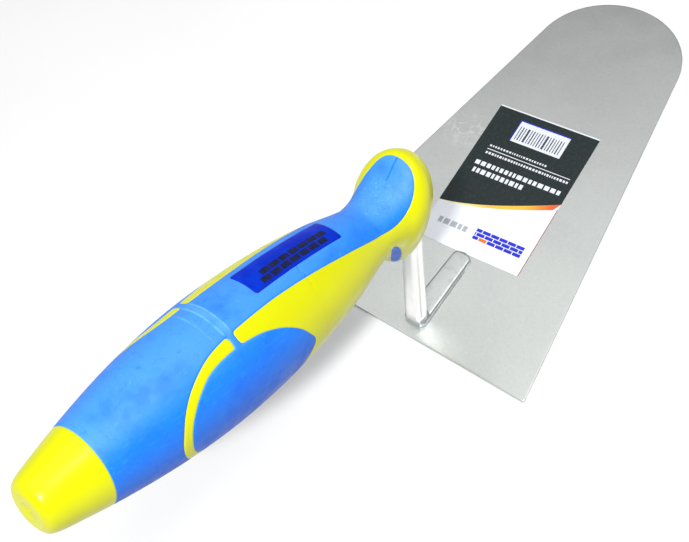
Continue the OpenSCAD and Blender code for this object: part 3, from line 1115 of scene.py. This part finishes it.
def badge_material():
    """Printed foil, smoother and deeper blue than the grip."""
    paint = Paint("badge_foil_blue", (0.001, 0.022, 0.48), 0.34, Specular_IOR_Level=0.08)
    paint.wash((0.002, 0.05, 0.64), paint.noise(9, 3), 0.45, 0.7, 0.6)
    paint.rough(paint.noise(2, 3), 0.3, 0.7, 0.30, 0.42)
    paint.bump(paint.noise(0.5, 2), 0.004)
    return paint.material


def ink(name, colour, roughness=0.35):
    """Printing ink with a faint mottle."""
    paint = Paint(name, colour, roughness, Specular_IOR_Level=0.2)
    paler = tuple(min(1.0, c * 1.25 + 0.012) for c in colour)
    paint.wash(paler, paint.noise(1.4, 4), 0.4, 0.75, 0.6)
    paint.rough(paint.noise(5, 3), 0.35, 0.7, roughness - 0.06, roughness + 0.08)
    paint.bump(paint.noise(0.6, 2), 0.003)
    return paint.material


def band_ink():
    """Ink that runs from pale yellow to orange along the band."""
    paint = Paint("print_band_ink", (0.85, 0.10, 0.015), 0.35)
    across = paint.axis("Y")
    paint.wash((0.83, 0.50, 0.05), across, -21 * MM, -8 * MM)
    paint.wash((0.86, 0.80, 0.35), across, 0.0, 14 * MM)
    paint.rough(paint.noise(5, 3), 0.35, 0.7, 0.3, 0.42)
    paint.bump(paint.noise(0.6, 2), 0.003)
    return paint.material


def paper_material():
    """Glossy coated paper."""
    paint = Paint("label_coated_paper", (0.83, 0.86, 0.92), 0.3)
    paint.wash((0.76, 0.79, 0.84), paint.noise(9, 3), 0.45, 0.75, 0.5)
    paint.rough(paint.noise(4, 3), 0.3, 0.7, 0.26, 0.38)
    paint.bump(paint.noise(0.4, 3), 0.003)
    return paint.material


def blade_steel():
    """Satin rolled steel: fine grain, faint clouds, light scratches and one painted reflection, a bright
    smear on the left.
    """
    paint = Paint("blade_satin_steel", (0.62, 0.645, 0.63), 0.34, metallic=1.0)
    paint.wash((0.56, 0.58, 0.575), paint.noise(40, 3, 0.6, distortion=0.6), 0.42, 0.68, 0.5)
    paint.wash((0.70, 0.72, 0.70), paint.noise(0.9, 3, 0.7), 0.50, 0.72, 0.5)
    paint.wash((0.50, 0.52, 0.515), paint.noise(1.3, 4, 0.7), 0.50, 0.72, 0.45)
    # Painted reflection: a bright, streaky patch on the blade's left.
    reflection_at = (91, 31, BLADE_THICKNESS)
    near_reflection = paint.near(reflection_at, 13, 2)
    reflection_streaks = paint.range(paint.noise(3.5, 4, 0.6, distortion=1.5), 0.45, 0.62)
    paint.tint((0.86, 0.87, 0.87), paint.times(paint.times(near_reflection, reflection_streaks), 0.7))
    scratches = paint.noise(1, 4, 0.7, paint.stretched((30, 0.22, 1), (0, 0, 78)))
    paint.rough(paint.noise(9, 4, 0.6), 0.3, 0.7, 0.32, 0.37)
    paint.bump(scratches, 0.004)
    paint.bump(paint.noise(0.5, 3, 0.6), 0.004)
    return paint.material


def forged_steel():
    """Plated forging: bright and smooth on the neck, greyer and mottled on the foot."""
    paint = Paint("shank_plated_steel", (0.93, 0.93, 0.90), 0.34, metallic=1.0)
    paint.wash((0.84, 0.87, 0.88), paint.noise(14, 3, 0.5, distortion=0.8), 0.42, 0.68, 0.6)
    foot_top = BLADE_THICKNESS + FOOT_HEIGHT
    foot = paint.range(paint.axis("Z"), (foot_top + 1.5) * MM, foot_top * MM)
    paint.tint((0.60, 0.625, 0.62), paint.times(foot, 0.85))
    blotches = paint.range(paint.noise(4.5, 4, 0.6, distortion=0.8), 0.48, 0.62)
    paint.tint((0.47, 0.51, 0.52), paint.times(paint.times(foot, blotches), 0.5))
    paint.rough(paint.noise(4, 3), 0.3, 0.7, 0.30, 0.42)
    paint.bump(paint.noise(7, 2, 0.4), 0.04)
    return paint.material


def weld_metal():
    """Dull grey bead."""
    paint = Paint("weld_bead_metal", (0.40, 0.41, 0.42), 0.45, metallic=1.0)
    paint.wash((0.22, 0.22, 0.23), paint.noise(1.5, 4, 0.7), 0.45, 0.7, 0.8)
    paint.rough(paint.noise(0.8, 3), 0.3, 0.7, 0.35, 0.6)
    paint.bump(paint.noise(0.4, 3), 0.03)
    return paint.material


def floor_material():
    """Plain pale floor with a hardly visible mottle."""
    paint = Paint("pale_floor", (0.84, 0.84, 0.84), 0.85)
    paint.wash((0.82, 0.82, 0.82), paint.noise(60, 2), 0.4, 0.7, 0.5)
    return paint.material


# ---- Camera, light and floor ----

def camera():
    """The viewing angle: from behind the butt's right, high up."""
    azimuth, elevation, roll = -36.5582, 57.9814, -19.3726
    stand = (-112.869, -131.687, 330.331)
    a, e, r = (math.radians(v) for v in (azimuth, elevation, roll))
    back = Vector((math.sin(a) * math.cos(e), -math.cos(a) * math.cos(e), math.sin(e)))
    right = Vector((math.cos(a), math.sin(a), 0))
    up = back.cross(right)
    tilted_right = right * math.cos(r) + up * math.sin(r)
    tilted_up = up * math.cos(r) - right * math.sin(r)
    data = bpy.data.cameras.new("camera")
    data.lens = 52.25
    data.sensor_width = 36
    data.clip_start = 0.01
    seen_from = bpy.data.objects.new("camera", data)
    pose = Matrix((tilted_right, tilted_up, back)).transposed().to_4x4()
    pose.translation = Vector(stand) * MM
    seen_from.matrix_world = pose
    bpy.context.scene.collection.objects.link(seen_from)
    bpy.context.scene.camera = seen_from


def area_light(name, direction, distance, size, power, aim=(0.03, 0, 0.05)):
    """A square soft light that faces the object from a direction."""
    data = bpy.data.lights.new(name, "AREA")
    data.size = size
    data.energy = power
    light = bpy.data.objects.new(name, data)
    way = Vector(direction).normalized()
    light.location = Vector(aim) + way * distance
    light.rotation_euler = way.to_track_quat("Z", "Y").to_euler()
    bpy.context.scene.collection.objects.link(light)


def studio():
    """Plain pale floor, an even white surround, three soft boxes and a small key light."""
    surround = 0.30
    # Direction, distance and size in metres, power in watts
    lights = {
        "overhead_box": ((0.25, 0.16, 0.955), 1.3, 1.3, 4.3),
        "far_box": ((-0.36, 0.40, 0.86), 1.2, 0.7, 1.3),
        "top_box": ((0.20, -0.34, 0.92), 1.1, 0.42, 3.8),
        "key_light": ((-0.49, -0.29, 0.82), 0.9, 0.06, 5.6),
    }
    world = bpy.data.worlds.new("studio_white")
    world.use_nodes = True
    background = world.node_tree.nodes["Background"].inputs
    background["Color"].default_value = (1, 1, 1, 1)
    background["Strength"].default_value = surround
    bpy.context.scene.world = world
    for name, values in lights.items():
        area_light(name, *values)
    reach = 2000
    corners = [(-reach, -reach, 0), (reach, -reach, 0), (reach, reach, 0), (-reach, reach, 0)]
    floor = make_mesh("floor", corners, [(0, 1, 2, 3)], floor_material())
    bpy.context.scene.view_settings.view_transform = "Standard"


camera()
studio()
blade()
label()
shank()
weld_beads()
handle_parts()
badge_print()
